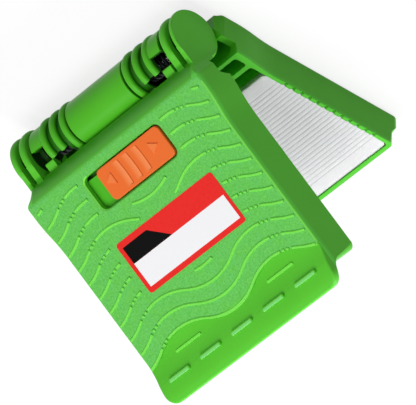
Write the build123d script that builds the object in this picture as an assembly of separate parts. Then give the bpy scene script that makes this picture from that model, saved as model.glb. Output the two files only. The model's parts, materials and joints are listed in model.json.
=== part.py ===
from build123d import *

import os
from math import asin, copysign, cos, degrees, pi, radians, sin, sqrt, tan

os.makedirs("parts", exist_ok=True)

# All sizes are in mm. The pieces are drawn with the hinge axis along X at y = 0, z = 0, the front at -Y
# and the cover closed. At the end they move to the part's own frame, whose origin is the middle of the
# base's flat underside, and the cover's pieces turn to their open rest position.
# Distances called _y are measured forward from the hinge axis.

# Case outline, the same for both shells
waist_half = 36.8
hip_swell = 1.1
shoulder_inset = 0.8
cover_shoulder_y = 6.2
base_shoulder_y = 5.0
shoulder_bend = 3.6
waist_y = 27.0
waist_bend = 14.5
draft_angle = 2.5
wall = 1.6
edge_round = 0.6
open_angle = 37.0
running_gap = 0.35
pin_gap = 0.05

# Cover
cover_top = 11.75
cover_rear_y = 5.1
rear_drop = 4.75
rear_slope = 4.2
rear_round = 2.0
skirt_bottom = 0.3
skirt_front_y = 71.8
skirt_corner = 2.0
cavity_corner = 1.5
notch_height = 3.0
notch_y = 12.0
notch_slope = 2.1
top_thickness = 1.8
cavity_rear_y = 10.0
lip_start_y = 63.0
lip_bend = 12.5
lip_rise = 2.5
lip_overhang = 5.9
lip_thickness = 2.1
lip_fillet = 3.8
lip_corner = 4.5
dip_depth = 0.5
dip_land = 0.15
dip_start_y = 62.0
dip_end_y = 70.2

# Wave ribs
wave_half_pitch = 20.0
wave_centre_x = 0.5
wave_swing = 4.9
first_crest_y = 12.7
row_pitch = 4.77
partial_rows = 8
full_rows = 3
rib_foot = 0.95
rib_crown = 0.5
rib_height = 0.35
rib_edge_gap = 0.2
rib_stub_length = 2.4
rib_outer_start = 28.2
dot_places = (26.9, 25.4)
dot_length = 0.8
rib_inner_start = 24.3
rib_by_slider = 18.2
rib_under_slider = 7.5
rib_by_label = 22.4

# Grip dashes on the lip
long_dash_length = 11.0
long_dash_x = 19.8
long_dash_y = 65.2
short_dash_length = 9.0
short_dash_pitch = 13.55
short_dash_y = 70.7
long_dash_width = 0.9
short_dash_width = 1.3
long_dash_height = 0.35
short_dash_height = 0.8
dash_sink = 0.4
dash_round = 0.25

# Label
label_width = 41.5
label_depth = 16.4
label_centre_x = 0.75
label_y = 32.1
label_thickness = 0.12
label_corner = 1.0

# Hinge
barrel_radius = 7.1
barrel_bore = 5.3
spring_room_length = 13.4
groove_radius = 6.0
groove_lead = 0.8
fin_radius = 7.6
fin_width = 2.2
fin_pitch = 4.35
fin_round = 0.9
hood_length = 4.55
hood_angle = 35.0
fin_end_angle = 73.0
window_end_angle = 198.0
end_wall = 1.5
end_hub_radius = 3.9
pin_radius = 1.6
pin_cover = 1.3
ear_radius = 8.0
ear_round = 0.9
ear_proud = 0.3
outer_ear_thickness = 2.2
inner_ear_thickness = 2.4
ear_gap = 1.9
ear_side_gap = 1.5
ear_hub_radius = 3.6
window_margin = 0.6
lug_offset = 0.35
lug_width = 3.5
lug_reach = 2.5
lug_thickness = 2.2

# Springs
wire = 1.2
coil_radius = 3.1
coil_turns = 5
coil_pitch = 1.75
coil_inset = 2.0
base_leg = 8.6
cover_leg = 5.4

# Base
base_depth = 11.4
rim_gap = 0.15
base_rear_y = 6.0
base_front_y = 69.2
base_wall_round = 1.6
toe_corner = 2.0
toe_length = 2.0
toe_start = 4.7
toe_slope = 4.0
base_edge_round = 1.2
side_drop = 3.2
side_drop_y = 12.5
side_rise_run = 0.7
floor_thickness = 1.8
rim_wall = 1.3
pocket_round = 1.0
first_rib_y = 13.0
rib_wall = 1.35
pocket_depths = (4.0, 4.6)
saddle_y = 7.8
saddle_reach = 1.5

# Pads
pad_rear_y = 24.5
cloth_thickness = 0.5
foam_thickness = 1.5
pad_below_rim = 0.25
tray_gap = 0.3
pad_rim_gap = 0.1
pad_corner = 1.6
upper_cloth_lift = 0.05
fibre_count = 12
fibre_pitch = 2.83
first_fibre_y = 31.25
fibre_notch_radius = 0.5

# Pad tray
tray_thickness = 1.6
tray_rib_height = 2.5
tray_rib_inset = 4.0
tray_rib_count = 3
tray_boss_radius = 3.0
tray_screw_side_inset = 5.5
tray_screw_inset = 5.2

# Slider
window_left = 16.2
window_right = 16.5
window_rear_y = 12.6
window_length = 10.5
window_round = 2.0
window_chamfer = 0.4
tab_travel = 5.0
tab_length = 26.7
tab_proud = 0.4
tab_edge_round = 0.3
step_run = 1.6
step_depth = 0.35
tab_steps = (9.1, 13.1, 17.1)
step_margin = 1.0
step_bow = 30.0
arrow_length = 3.3
arrow_half = 1.9
left_arrow_inset = 1.4
right_arrow_inset = 2.8
arrow_setback = 0.5
arrow_height = 0.3

# Carriage and its rails
carriage_end_gap = 3.7
carriage_plate = 1.55
carriage_wall = 1.4
carriage_rear_y = 17.2
carriage_front_y = 64.3
rear_flange = 3.5
front_flange = 2.0
platen_thickness = 1.4
rail_thickness = 1.5
rail_end_gap = 2.2
rail_clearance = 0.3
rail_boss_inset = 8.0
rail_boss_radius = 1.5
rear_boss_y = 11.9
front_boss_y = 68.2
rear_rail_y = 10.4
rear_rail_width = 4.6
upper_pad_margin = 0.3
upper_pad_rear_y = 24.8
platen_boss_radius = 2.2
platen_boss_inset = 3.0

# Detent leaf and its rivets
leaf_x = 9.0
leaf_half = 7.0
leaf_foot = 2.5
leaf_strip = 0.3
leaf_width = 2.0
leaf_bump_radius = 0.9
leaf_reach = 0.7
notch_radius = 1.3
rivet_radius = 0.5
rivet_head_radius = 1.0
rivet_head = 0.4

# Screws
screw_radius = 1.0
screw_gap = 0.05
screw_head_radius = 2.0
screw_head = 1.1
screw_length = 5.0
small_screw_radius = 0.8
small_head_radius = 1.5
small_head = 0.8

# Worked out from the sizes above
hip_half = waist_half + hip_swell
shoulder_half = waist_half - shoulder_inset
ear_outer = shoulder_half + ear_proud
outer_ear_start = ear_outer - outer_ear_thickness
inner_ear_start = outer_ear_start - ear_gap - inner_ear_thickness
pin_half = ear_outer - pin_cover
barrel_half = inner_ear_start - ear_side_gap
hood_start = barrel_half - hood_length
fin_starts = [hood_start - fin_width - step * fin_pitch for step in (2, 1, 0)]
barrel_solid_half = barrel_half - end_wall - spring_room_length
coil_start = barrel_solid_half + coil_inset
lug_start = hood_start + lug_offset
lip_front_y = skirt_front_y + lip_overhang
lip_crest_y = lip_start_y + lip_bend
ceiling = cover_top - top_thickness
rim_z = -rim_gap
base_bottom = -base_depth
floor_z = base_bottom + floor_thickness
bay_half = waist_half - rim_wall
bay_front_y = base_front_y - rim_wall
cloth_top = rim_z - pad_below_rim
foam_top = cloth_top - cloth_thickness
tray_top = foam_top - foam_thickness
tray_bottom = tray_top - tray_thickness
carriage_top = ceiling - rail_clearance
carriage_bottom = carriage_top - carriage_plate
rail_top = carriage_bottom - rail_clearance
rail_bottom = rail_top - rail_thickness
upper_cloth_bottom = skirt_bottom + upper_cloth_lift
upper_foam_bottom = upper_cloth_bottom + cloth_thickness
platen_bottom = upper_foam_bottom + foam_thickness
platen_top = platen_bottom + platen_thickness
carriage_shift = tab_travel / 2
carriage_half = waist_half - wall - carriage_shift - carriage_end_gap
rail_half = waist_half - wall - rail_end_gap
rail_boss_x = rail_half - rail_boss_inset
tray_screw_x = bay_half - tray_screw_side_inset
tray_rib_half = tray_screw_x - tray_rib_inset
carriage_left = carriage_shift - carriage_half
carriage_right = carriage_shift + carriage_half
tab_right = window_right - running_gap
tab_left = tab_right - tab_length
tab_rear_y = window_rear_y + running_gap
tab_front_y = window_rear_y + window_length - running_gap
tab_top = cover_top + tab_proud
wave_radius = ((wave_half_pitch / 2) ** 2 + (wave_swing / 2) ** 2) / wave_swing
hinge_height = base_depth
hinge_setback = (base_rear_y + base_front_y + toe_length) / 2


def s_bend(start, end, run_axis):
    """Two tangent arcs from start to end, with both ends along the run axis, 0 or 1."""
    side_axis = 1 - run_axis
    half_run = (end[run_axis] - start[run_axis]) / 2
    half_side = (end[side_axis] - start[side_axis]) / 2
    radius = (half_run**2 + half_side**2) / (2 * abs(half_side))
    half_turn = asin(abs(half_run) / radius) / 2
    run = copysign(radius * sin(half_turn), half_run)
    side = copysign(radius * (1 - cos(half_turn)), half_side)
    step = (run, side) if run_axis == 0 else (side, run)
    middle = ((start[0] + end[0]) / 2, (start[1] + end[1]) / 2)
    first = ThreePointArc(start, (start[0] + step[0], start[1] + step[1]), middle)
    second = ThreePointArc(middle, (end[0] - step[0], end[1] - step[1]), end)
    return [first, second]


def quarter(start, end, centre):
    """A quarter circle from start to end round centre."""
    radius = abs(start[0] - end[0])
    toward = Vector(start) + Vector(end) - Vector(centre) * 2
    middle = Vector(centre) + toward.normalized() * radius
    return ThreePointArc(start, (middle.X, middle.Y), end)


def chain(*points):
    """Straight edges through the points."""
    return [Line(a, b) for a, b in zip(points, points[1:])]


def flat(edges):
    """A flat face that looks along its own Z."""
    face = make_face(edges).face()
    return face if face.normal_at().Z > 0 else -face


def across(profile, start, end):
    """A profile drawn in Y and Z, carried along X from start to end."""
    return Pos(start, 0, 0) * extrude(Plane.YZ * profile, end - start)


def plate(left, right, rear_y, front_y, bottom, top, corner=0.0):
    """A flat plate between two distances from the hinge axis, with its corners rounded in plan."""
    width = right - left
    depth = front_y - rear_y
    outline = RectangleRounded(width, depth, corner) if corner else Rectangle(width, depth)
    return Pos((left + right) / 2, -(rear_y + front_y) / 2, bottom) * extrude(outline, top - bottom)


def rod(radius, start, end, y=0.0, z=0.0):
    """A round rod along X."""
    return Pos((start + end) / 2, y, z) * Rot(0, 90, 0) * Cylinder(radius, end - start)


def post(radius, x, forward_y, bottom, top):
    """A round post along Z."""
    return Pos(x, -forward_y, (bottom + top) / 2) * Cylinder(radius, top - bottom)


def both_sides(solid):
    """The solid and its mirror image on the left."""
    return [solid, mirror(solid, about=Plane.YZ)]


def case_outline(rear_y, front_y, corner, shoulder_y):
    """Plan of the case: shoulders beside the hinge, hips, then a long waist to the front corners."""
    shoulder = shoulder_half
    hip = hip_half
    waist = waist_half
    hip_start_y = shoulder_y + shoulder_bend
    hip_end_y = waist_y - waist_bend
    rear = -rear_y
    front = -front_y
    right = chain((0, front), (waist - corner, front))
    corner_centre = (waist - corner, front + corner)
    right.append(quarter((waist - corner, front), (waist, front + corner), corner_centre))
    right += chain((waist, front + corner), (waist, -waist_y))
    right += s_bend((waist, -waist_y), (hip, -hip_end_y), 1)
    right += chain((hip, -hip_end_y), (hip, -hip_start_y))
    right += s_bend((hip, -hip_start_y), (shoulder, -shoulder_y), 1)
    right += chain((shoulder, -shoulder_y), (shoulder, rear), (0, rear))
    left = [edge.mirror(Plane.YZ) for edge in right]
    return flat(right + left)


def front_relief(profile, corner, corner_y):
    """Cuts back the front below a lip or above a toe, and turns the cut round both front corners.

    The profile is drawn outward from the corner's centre, and up.
    """
    centre_x = waist_half - corner
    plane = Plane(origin=(centre_x, -corner_y, 0), x_dir=(0, -1, 0), z_dir=(-1, 0, 0))
    straight = extrude(plane * profile, 2 * centre_x)
    turned = revolve(plane * profile, axis=Axis((centre_x, -corner_y, 0), (0, 0, 1)), revolution_arc=90)
    return [straight] + both_sides(turned)


def rim_edges(solid, facing):
    """Edges between the faces that look up or down, as facing says, and the upright sides."""
    level = [face for face in solid.faces() if face.normal_at().Z * facing > 0.5]
    edges = [edge for face in level for edge in face.edges()]
    return [edge for edge in edges if sum(edge.is_same(other) for other in edges) == 1]


def wave_ribs(start, end, crest_y):
    """A ridge that follows the wave between two places along X, one turned piece for each arc."""
    half_foot = rib_foot / 2
    half_crown = rib_crown / 2
    section = Polyline(
        (wave_radius - half_foot, -rib_height),
        (wave_radius - half_foot, 0),
        (wave_radius - half_crown, rib_height),
        (wave_radius + half_crown, rib_height),
        (wave_radius + half_foot, 0),
        (wave_radius + half_foot, -rib_height),
        close=True,
    )
    section_face = Plane.XZ * flat(section)
    pieces = []
    for arc in (-2, -1, 0, 1, 2):
        middle = wave_centre_x + arc * wave_half_pitch
        left = max(start, middle - wave_half_pitch / 2)
        right = min(end, middle + wave_half_pitch / 2)
        if right - left < dot_length / 2:
            continue
        turn_left = degrees(asin((left - middle) / wave_radius))
        turn_right = degrees(asin((right - middle) / wave_radius))
        is_crest = arc % 2 == 1
        centre_y = -crest_y - wave_radius if is_crest else -crest_y - wave_swing + wave_radius
        first = 90 - turn_right if is_crest else 270 + turn_left
        turned = revolve(section_face, axis=Axis.Z, revolution_arc=turn_right - turn_left)
        pieces.append(Pos(middle, centre_y, cover_top) * Rot(0, 0, first) * turned)
    return pieces


def wave_row(row):
    """The ridges of one row: outer run, two dots, and an inner run that stops for slider and label."""
    crest_y = first_crest_y + row * row_pitch
    edge = waist_half - cover_top * tan(radians(draft_angle)) - edge_round - rib_edge_gap
    if row < 0:
        stub = edge - rib_stub_length
        return wave_ribs(stub, edge, crest_y) + wave_ribs(-edge, -stub, crest_y)
    runs = [(rib_outer_start, edge)]
    runs += [(place - dot_length / 2, place + dot_length / 2) for place in dot_places]
    if row < 3:
        runs.append((rib_by_slider, rib_inner_start))
    elif row == 3:
        runs.append((rib_under_slider, rib_inner_start))
    elif row < partial_rows:
        runs.append((rib_by_label, rib_inner_start))
    pieces = []
    for start, end in runs:
        pieces += wave_ribs(start, end, crest_y)
        pieces += wave_ribs(-end, -start, crest_y)
    centre_runs = {2: (-6.5, 8.2), partial_rows - 1: (-3.0, 4.4)}
    if row in centre_runs:
        pieces += wave_ribs(*centre_runs[row], crest_y)
    if row >= partial_rows:
        pieces += wave_ribs(-rib_inner_start, rib_inner_start, crest_y)
    return pieces


def wave_line(crest_y, half_width):
    """The wave as edges from the left side to the right side, ending in troughs."""
    edges = []
    for arc in (-2, -1, 0, 1, 2):
        middle = wave_centre_x + arc * wave_half_pitch
        left = max(-half_width, middle - wave_half_pitch / 2)
        right = min(half_width, middle + wave_half_pitch / 2)
        side = 1 if arc % 2 else -1
        centre_y = -crest_y - wave_radius if side > 0 else -crest_y - wave_swing + wave_radius
        points = []
        for x in (left, (left + right) / 2, right):
            points.append((x, centre_y + side * sqrt(wave_radius**2 - (x - middle) ** 2)))
        edges.append(ThreePointArc(*points))
    return edges


def lip_height(forward_y, start_y, start_z):
    """Height and slope of the double curve that rises from the panel to the lip's crest."""
    run = (lip_crest_y - start_y) / 2
    rise = (cover_top + lip_rise - start_z) / 2
    radius = (run**2 + rise**2) / (2 * rise)
    if forward_y < start_y + run:
        reach = forward_y - start_y
        height = start_z + radius - sqrt(radius**2 - reach**2)
    else:
        reach = lip_crest_y - forward_y
        height = cover_top + lip_rise - radius + sqrt(radius**2 - reach**2)
    return height, asin(reach / radius)


def cover_plan():
    """The cover's drafted plan, carried back past the hinge, and straight down below the parting line."""
    outline = case_outline(-ear_radius - 1, lip_front_y, lip_corner, cover_shoulder_y)
    return extrude(outline, cover_top + lip_rise + 1, taper=draft_angle) + extrude(outline, -ear_radius - 1)


def cover_block():
    """The cover's outer form: a side profile with the raised lip, met with the drafted plan."""
    crest_z = cover_top + lip_rise
    rear = -cover_rear_y
    notch_z = skirt_bottom + notch_height
    edges = chain((rear, notch_z), (rear, cover_top - rear_drop))
    slope = FilletPolyline(
        (rear, cover_top - rear_drop),
        (rear - rear_slope, cover_top),
        (-lip_start_y, cover_top),
        radius=rear_round,
    )
    edges += slope.edges()
    edges += s_bend((-lip_start_y, cover_top), (-lip_crest_y, crest_z), 0)
    edges += chain(
        (-lip_crest_y, crest_z),
        (-lip_front_y - 1, crest_z),
        (-lip_front_y - 1, skirt_bottom),
        (-notch_y - notch_slope, skirt_bottom),
        (-notch_y - notch_slope / 2, notch_z - notch_height * 0.4),
        (-notch_y, notch_z),
        (rear, notch_z),
    )
    side_form = across(flat(edges), -hip_half - 1, hip_half + 1)
    block = side_form & cover_plan()
    block = fillet(rim_edges(block, 1), edge_round)
    lip_bottom = crest_z - lip_thickness
    relief = chain((skirt_corner, skirt_bottom - 1), (skirt_corner, lip_bottom - lip_fillet))
    relief.append(
        quarter(
            (skirt_corner, lip_bottom - lip_fillet),
            (skirt_corner + lip_fillet, lip_bottom),
            (skirt_corner + lip_fillet, lip_bottom - lip_fillet),
        )
    )
    far = skirt_corner + lip_overhang + lip_corner
    relief += chain((skirt_corner + lip_fillet, lip_bottom), (far, lip_bottom), (far, skirt_bottom - 1))
    relief += chain((far, skirt_bottom - 1), (skirt_corner, skirt_bottom - 1))
    return block - front_relief(flat(relief), skirt_corner, skirt_front_y - skirt_corner)


def front_dip():
    """The smooth front field, which lies a little lower than the panel, as far as the last ridge."""
    crest_y = first_crest_y + (partial_rows + full_rows - 1) * row_pitch + rib_foot / 2 + dip_land
    half = hip_half + 0.5
    wave = wave_line(crest_y, half)
    left_end = wave[0] @ 0
    right_end = wave[-1] @ 1
    edges = wave + chain(
        (right_end.X, right_end.Y), (half, -dip_end_y), (-half, -dip_end_y), (left_end.X, left_end.Y)
    )
    field = extrude(flat(edges), cover_top + lip_rise + 1)
    low = cover_top - dip_depth
    crest_z = cover_top + lip_rise
    profile = chain((-lip_crest_y, crest_z + 1), (-cover_rear_y, crest_z + 1), (-cover_rear_y, low))
    profile += chain((-cover_rear_y, low), (-dip_start_y, low))
    profile += s_bend((-dip_start_y, low), (-lip_crest_y, crest_z), 0)
    profile += chain((-lip_crest_y, crest_z), (-lip_crest_y, crest_z + 1))
    return field & across(flat(profile), -half, half)


def grip_dashes():
    """Seven raised dashes on the front field, each set on the slope under it."""
    thin = extrude(SlotOverall(long_dash_length, long_dash_width), dash_sink + long_dash_height)
    tall = extrude(SlotOverall(short_dash_length, short_dash_width), dash_sink + short_dash_height)
    places = [(side * long_dash_x, long_dash_y, thin) for side in (-1, 1)]
    places += [(step * short_dash_pitch, short_dash_y, tall) for step in (-2, -1, 0, 1, 2)]
    dashes = []
    for x, forward_y, bar in places:
        if forward_y < dip_end_y:
            height, slope = lip_height(forward_y, dip_start_y, cover_top - dip_depth)
        else:
            height, slope = lip_height(forward_y, lip_start_y, cover_top)
        seat = Plane(origin=(x, -forward_y, height), x_dir=(1, 0, 0), z_dir=(0, sin(slope), cos(slope)))
        rounded = fillet(bar.faces().sort_by(Axis.Z)[-1].edges(), dash_round)
        dashes.append(seat * Pos(0, 0, -dash_sink) * rounded)
    return dashes


def ear(start, end):
    """One hinge disc with a rounded rim and the web that joins it to the cover's rear wall."""
    disc = rod(ear_radius, start, end)
    disc = fillet(disc.edges().filter_by(GeomType.CIRCLE), ear_round)
    notch_z = skirt_bottom + notch_height
    web = flat(
        Polyline(
            (0, 0),
            (0, ear_radius - ear_round / 3),
            (-cavity_rear_y, ear_radius - ear_round / 3),
            (-cavity_rear_y, notch_z),
            (-ear_radius, notch_z),
            (-ear_radius, 0),
            close=True,
        )
    )
    return [disc, across(web, start, end)]


def cover_ears():
    """Both hinge ears, each two discs on a hub like a cotton reel, flush with the cover's side walls."""
    hub = rod(ear_hub_radius, inner_ear_start, outer_ear_start + outer_ear_thickness / 2)
    inner = ear(inner_ear_start, inner_ear_start + inner_ear_thickness)
    outer = ear(outer_ear_start, ear_outer)
    joined = (hub + inner + outer) & cover_plan()
    bore = rod(pin_radius + pin_gap, inner_ear_start - 1, pin_half + pin_gap)
    return both_sides(joined - bore)


def hinge_trough():
    """Room in the cover for the barrel and, round each fin, a wider ring."""
    trough = [rod(barrel_radius + running_gap, -barrel_half - running_gap, barrel_half + running_gap)]
    for start in fin_starts:
        ring = rod(fin_radius + running_gap, start - running_gap, start + fin_width + running_gap)
        trough += both_sides(ring)
    return trough


def spring_lugs():
    """Lugs on the cover's rear wall that the springs push up."""
    bottom = coil_radius + wire / 2 + 0.1
    front_y = cover_rear_y + wall / 2
    lug = plate(lug_start, lug_start + lug_width, lug_reach, front_y, bottom, bottom + lug_thickness)
    lug = fillet(lug.edges().filter_by(Axis.X).sort_by(Axis.Y)[-2:], 0.5)
    return both_sides(lug)


def slider_window():
    """Opening in the cover's top for the tab, with a small chamfer round its mouth."""
    front_y = window_rear_y + window_length
    window = plate(
        -window_left, window_right, window_rear_y, front_y, ceiling - 1, cover_top + 1, window_round
    )
    mouth = plate(
        -window_left - window_chamfer,
        window_right + window_chamfer,
        window_rear_y - window_chamfer,
        front_y + window_chamfer,
        cover_top - window_chamfer,
        cover_top,
        window_round + window_chamfer,
    )
    mouth = chamfer(mouth.faces().sort_by(Axis.Z)[0].edges(), window_chamfer * 0.99)
    return [window, mouth]


def rail_places():
    """Where the four screws of the guide rails stand."""
    return [(side * rail_boss_x, y) for side in (-1, 1) for y in (rear_boss_y, front_boss_y)]


def cover_shell():
    shell = cover_block()
    cavity_front_y = skirt_front_y - wall
    cavity_plan = RectangleRounded(2 * (waist_half - wall), cavity_front_y - cavity_rear_y, cavity_corner)
    middle_y = -(cavity_rear_y + cavity_front_y) / 2
    cavity = Pos(0, middle_y, 0) * extrude(cavity_plan, ceiling, taper=draft_angle)
    shell -= [cavity, front_dip()] + hinge_trough() + slider_window()
    pilot = small_screw_radius + screw_gap
    bosses = [post(rail_boss_radius, x, y, rail_top, ceiling + wall / 2) for x, y in rail_places()]
    ridges = [rib for row in range(-1, partial_rows + full_rows) for rib in wave_row(row)]
    shell += bosses + ridges + grip_dashes() + cover_ears() + spring_lugs()
    shell -= [post(pilot, x, y, rail_top - 1, ceiling + wall / 2) for x, y in rail_places()]
    return shell


def label():
    half = label_width / 2
    front_y = label_y + label_depth
    return plate(
        label_centre_x - half,
        label_centre_x + half,
        label_y,
        front_y,
        cover_top,
        cover_top + label_thickness,
        label_corner,
    )


def ring_sector(inner, outer, first, last, start, end):
    """A sector of a ring round the hinge axis, with its angles measured from +Y towards +Z."""

    def at(radius, angle):
        return (radius * cos(radians(angle)), radius * sin(radians(angle)))

    middle = (first + last) / 2
    edges = [
        ThreePointArc(at(outer, first), at(outer, middle), at(outer, last)),
        Line(at(outer, last), at(inner, last)),
        ThreePointArc(at(inner, last), at(inner, middle), at(inner, first)),
        Line(at(inner, first), at(outer, first)),
    ]
    return across(flat(edges), start, end)


def barrel_half_form():
    """Right half of the hinge barrel: smooth middle, three fins over grooves, then the hood."""
    form = rod(barrel_radius, 0, fin_starts[0] - groove_lead)
    form += rod(groove_radius, fin_starts[0] - groove_lead, hood_start)
    form += rod(barrel_radius, hood_start, barrel_half)
    for start in fin_starts:
        fin = rod(fin_radius, start, start + fin_width)
        form += fillet(fin.edges().filter_by(GeomType.CIRCLE), fin_round)
    reach = fin_radius + 1
    spring_room = barrel_bore - window_margin
    form -= ring_sector(end_hub_radius, reach, hood_angle, window_end_angle, hood_start, barrel_half + 1)
    form -= ring_sector(spring_room, reach, fin_end_angle, window_end_angle, fin_starts[1], hood_start)
    return form


def hinge_barrel():
    """The barrel, the saddle that carries it, the spring rooms, the pin's bore and the leg slots."""
    half = barrel_half_form()
    saddle = flat(
        Polyline(
            (-saddle_y, rim_z - 0.15),
            (-barrel_radius + 0.4, rim_z - 0.15),
            (-saddle_reach, -barrel_radius + 0.2),
            (-base_rear_y, base_bottom + base_edge_round),
            (-saddle_y, base_bottom + base_edge_round),
            close=True,
        )
    )
    form = half + [mirror(half, about=Plane.YZ), across(saddle, -barrel_half, barrel_half)]
    room = rod(barrel_bore, barrel_solid_half, barrel_half - end_wall)
    form -= both_sides(room)
    return form - rod(pin_radius + pin_gap, -barrel_half - 1, barrel_half + 1)


def leg_slots():
    """Slots through the barrel's front wall for the springs' base legs, which press on their floors."""
    drift = base_leg * coil_pitch / (2 * pi * coil_radius)
    slot = plate(
        coil_start - drift - wire / 2 - running_gap,
        coil_start + wire / 2 + running_gap,
        barrel_bore / 2,
        saddle_y + wire,
        -coil_radius - wire / 2 - 0.02,
        -coil_radius + wire,
    )
    return both_sides(slot)


def base_block():
    """The base's outer form: side profile with the lowered rear flanks, met with the drafted plan."""
    toe_y = base_front_y + toe_length
    drop_end_y = side_drop_y + side_rise_run
    profile = flat(
        Polyline(
            (-base_rear_y, base_bottom - 1),
            (-base_rear_y, -side_drop),
            (-side_drop_y, -side_drop),
            (-drop_end_y, rim_z),
            (-toe_y - 1, rim_z),
            (-toe_y - 1, base_bottom - 1),
            close=True,
        )
    )
    outline = case_outline(base_shoulder_y - 1, toe_y, toe_corner, base_shoulder_y)
    drafted = extrude(outline, -base_depth, taper=draft_angle)
    block = drafted & across(profile, -hip_half - 1, hip_half + 1)
    block = fillet(block.faces().sort_by(Axis.Z)[0].edges(), base_edge_round)
    toe = flat(
        Polyline(
            (base_wall_round, 1),
            (base_wall_round, -toe_start),
            (base_wall_round + toe_length, -toe_start - toe_slope),
            (base_wall_round + toe_length + 5, -toe_start - toe_slope),
            (base_wall_round + toe_length + 5, 1),
            close=True,
        )
    )
    return block - front_relief(toe, base_wall_round, base_front_y - base_wall_round)


def pocket_spans():
    """Front and rear of each cross pocket and of the pad bay."""
    spans = [(saddle_y, first_rib_y)]
    rear_y = first_rib_y + rib_wall
    for depth in pocket_depths:
        spans.append((rear_y, rear_y + depth))
        rear_y += depth + rib_wall
    spans.append((rear_y, bay_front_y))
    return spans


def tray_screw_places():
    """Where the four screws of the pad tray stand."""
    rear_y = pocket_spans()[-1][0] + tray_screw_inset
    front_y = bay_front_y - tray_screw_inset
    return [(side * tray_screw_x, y) for side in (-1, 1) for y in (rear_y, front_y)]


def base_shell():
    shell = base_block()
    spans = pocket_spans()
    pockets = [plate(-bay_half, bay_half, a, b, floor_z, 1, pocket_round) for a, b in spans]
    last_rib = plate(
        -bay_half, bay_half, spans[-2][1] - pocket_round, spans[-1][0] + pocket_round, tray_top, 1
    )
    reach = ear_radius + running_gap
    ear_rooms = both_sides(rod(reach, barrel_half, hip_half + 1))
    notches = []
    for index in range(fibre_count):
        y = -first_fibre_y - index * fibre_pitch
        notches.append(rod(fibre_notch_radius, -hip_half, hip_half, y, rim_z))
    shell = shell - (pockets + [last_rib] + ear_rooms + notches)
    shell += hinge_barrel()
    shell -= leg_slots()
    bosses = [post(tray_boss_radius, x, y, floor_z - 0.5, tray_bottom) for x, y in tray_screw_places()]
    shell += bosses
    pilot = screw_radius + screw_gap
    pilot_end = tray_top - screw_length
    return shell - [post(pilot, x, y, pilot_end, tray_bottom + 1) for x, y in tray_screw_places()]


def lower_pad_tray():
    """Plate over the base's front bay, on four bosses, with ribs under it and sunk screw heads."""
    rear_y = pocket_spans()[-1][0] + tray_gap
    front_y = bay_front_y - tray_gap
    half = bay_half - tray_gap
    tray = plate(-half, half, rear_y, front_y, tray_bottom, tray_top, pocket_round)
    pitch = (front_y - rear_y) / (tray_rib_count + 1)
    for index in range(tray_rib_count):
        y = rear_y + (index + 1) * pitch
        bottom = tray_bottom - tray_rib_height
        tray += plate(-tray_rib_half, tray_rib_half, y - wall / 2, y + wall / 2, bottom, tray_bottom)
    for x, y in tray_screw_places():
        tray -= post(screw_radius + 2 * screw_gap, x, y, tray_bottom - 1, tray_top)
        tray -= post(screw_head_radius + screw_gap, x, y, tray_top - screw_head - screw_gap, tray_top)
    return tray


def screw(radius, head_radius, head, x, forward_y, seat, direction, length):
    """A pan-head screw whose head sits on the seat and whose shank runs along direction."""
    tip = seat + direction * length
    shank = post(radius, x, forward_y, min(seat, tip), max(seat, tip))
    head_far = seat - direction * head
    cap = post(head_radius, x, forward_y, min(seat, head_far), max(seat, head_far))
    outer = cap.faces().sort_by(Axis.Z)[0 if direction > 0 else -1]
    return shank + fillet(outer.edges(), head / 3)


def tray_screws():
    seat = tray_top - screw_head - screw_gap
    shank = screw_length - screw_head - 2 * screw_gap
    return [
        screw(screw_radius, screw_head_radius, screw_head, x, y, seat, -1, shank)
        for x, y in tray_screw_places()
    ]


def lower_foam_pad():
    half = bay_half - pad_rim_gap
    return plate(-half, half, pad_rear_y, bay_front_y - pad_rim_gap, tray_top, foam_top, pad_corner)


def lower_wiping_cloth():
    half = bay_half - pad_rim_gap
    return plate(-half, half, pad_rear_y, bay_front_y - pad_rim_gap, foam_top, cloth_top, pad_corner)


def hinge_pin():
    pin = rod(pin_radius, -pin_half, pin_half)
    return chamfer(pin.edges().filter_by(GeomType.CIRCLE), pin_radius / 4)


def torsion_spring():
    """Right-hand spring: the base leg, the coil and the cover leg along one smooth path."""
    turns = coil_turns + (180 - open_angle) / 360
    rise = coil_pitch / (2 * pi)
    coil = Rot(0, 90, 0) * Helix(coil_pitch, turns * coil_pitch, coil_radius)
    coil = Pos(coil_start, 0, 0) * coil
    start = Vector(coil_start, 0, -coil_radius)
    into = Vector(rise, coil_radius, 0).normalized()
    last = 2 * pi * turns
    end = Vector(coil_start + turns * coil_pitch, coil_radius * sin(last), -coil_radius * cos(last))
    out = Vector(rise, coil_radius * cos(last), coil_radius * sin(last)).normalized()
    path = Wire([Edge.make_line(start - into * base_leg, start), coil.edges()[0]])
    path = Wire(path.edges() + [Edge.make_line(end, end + out * cover_leg)])
    section = Plane(origin=start - into * base_leg, z_dir=into) * Circle(wire / 2)
    return sweep(section, path)


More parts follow.
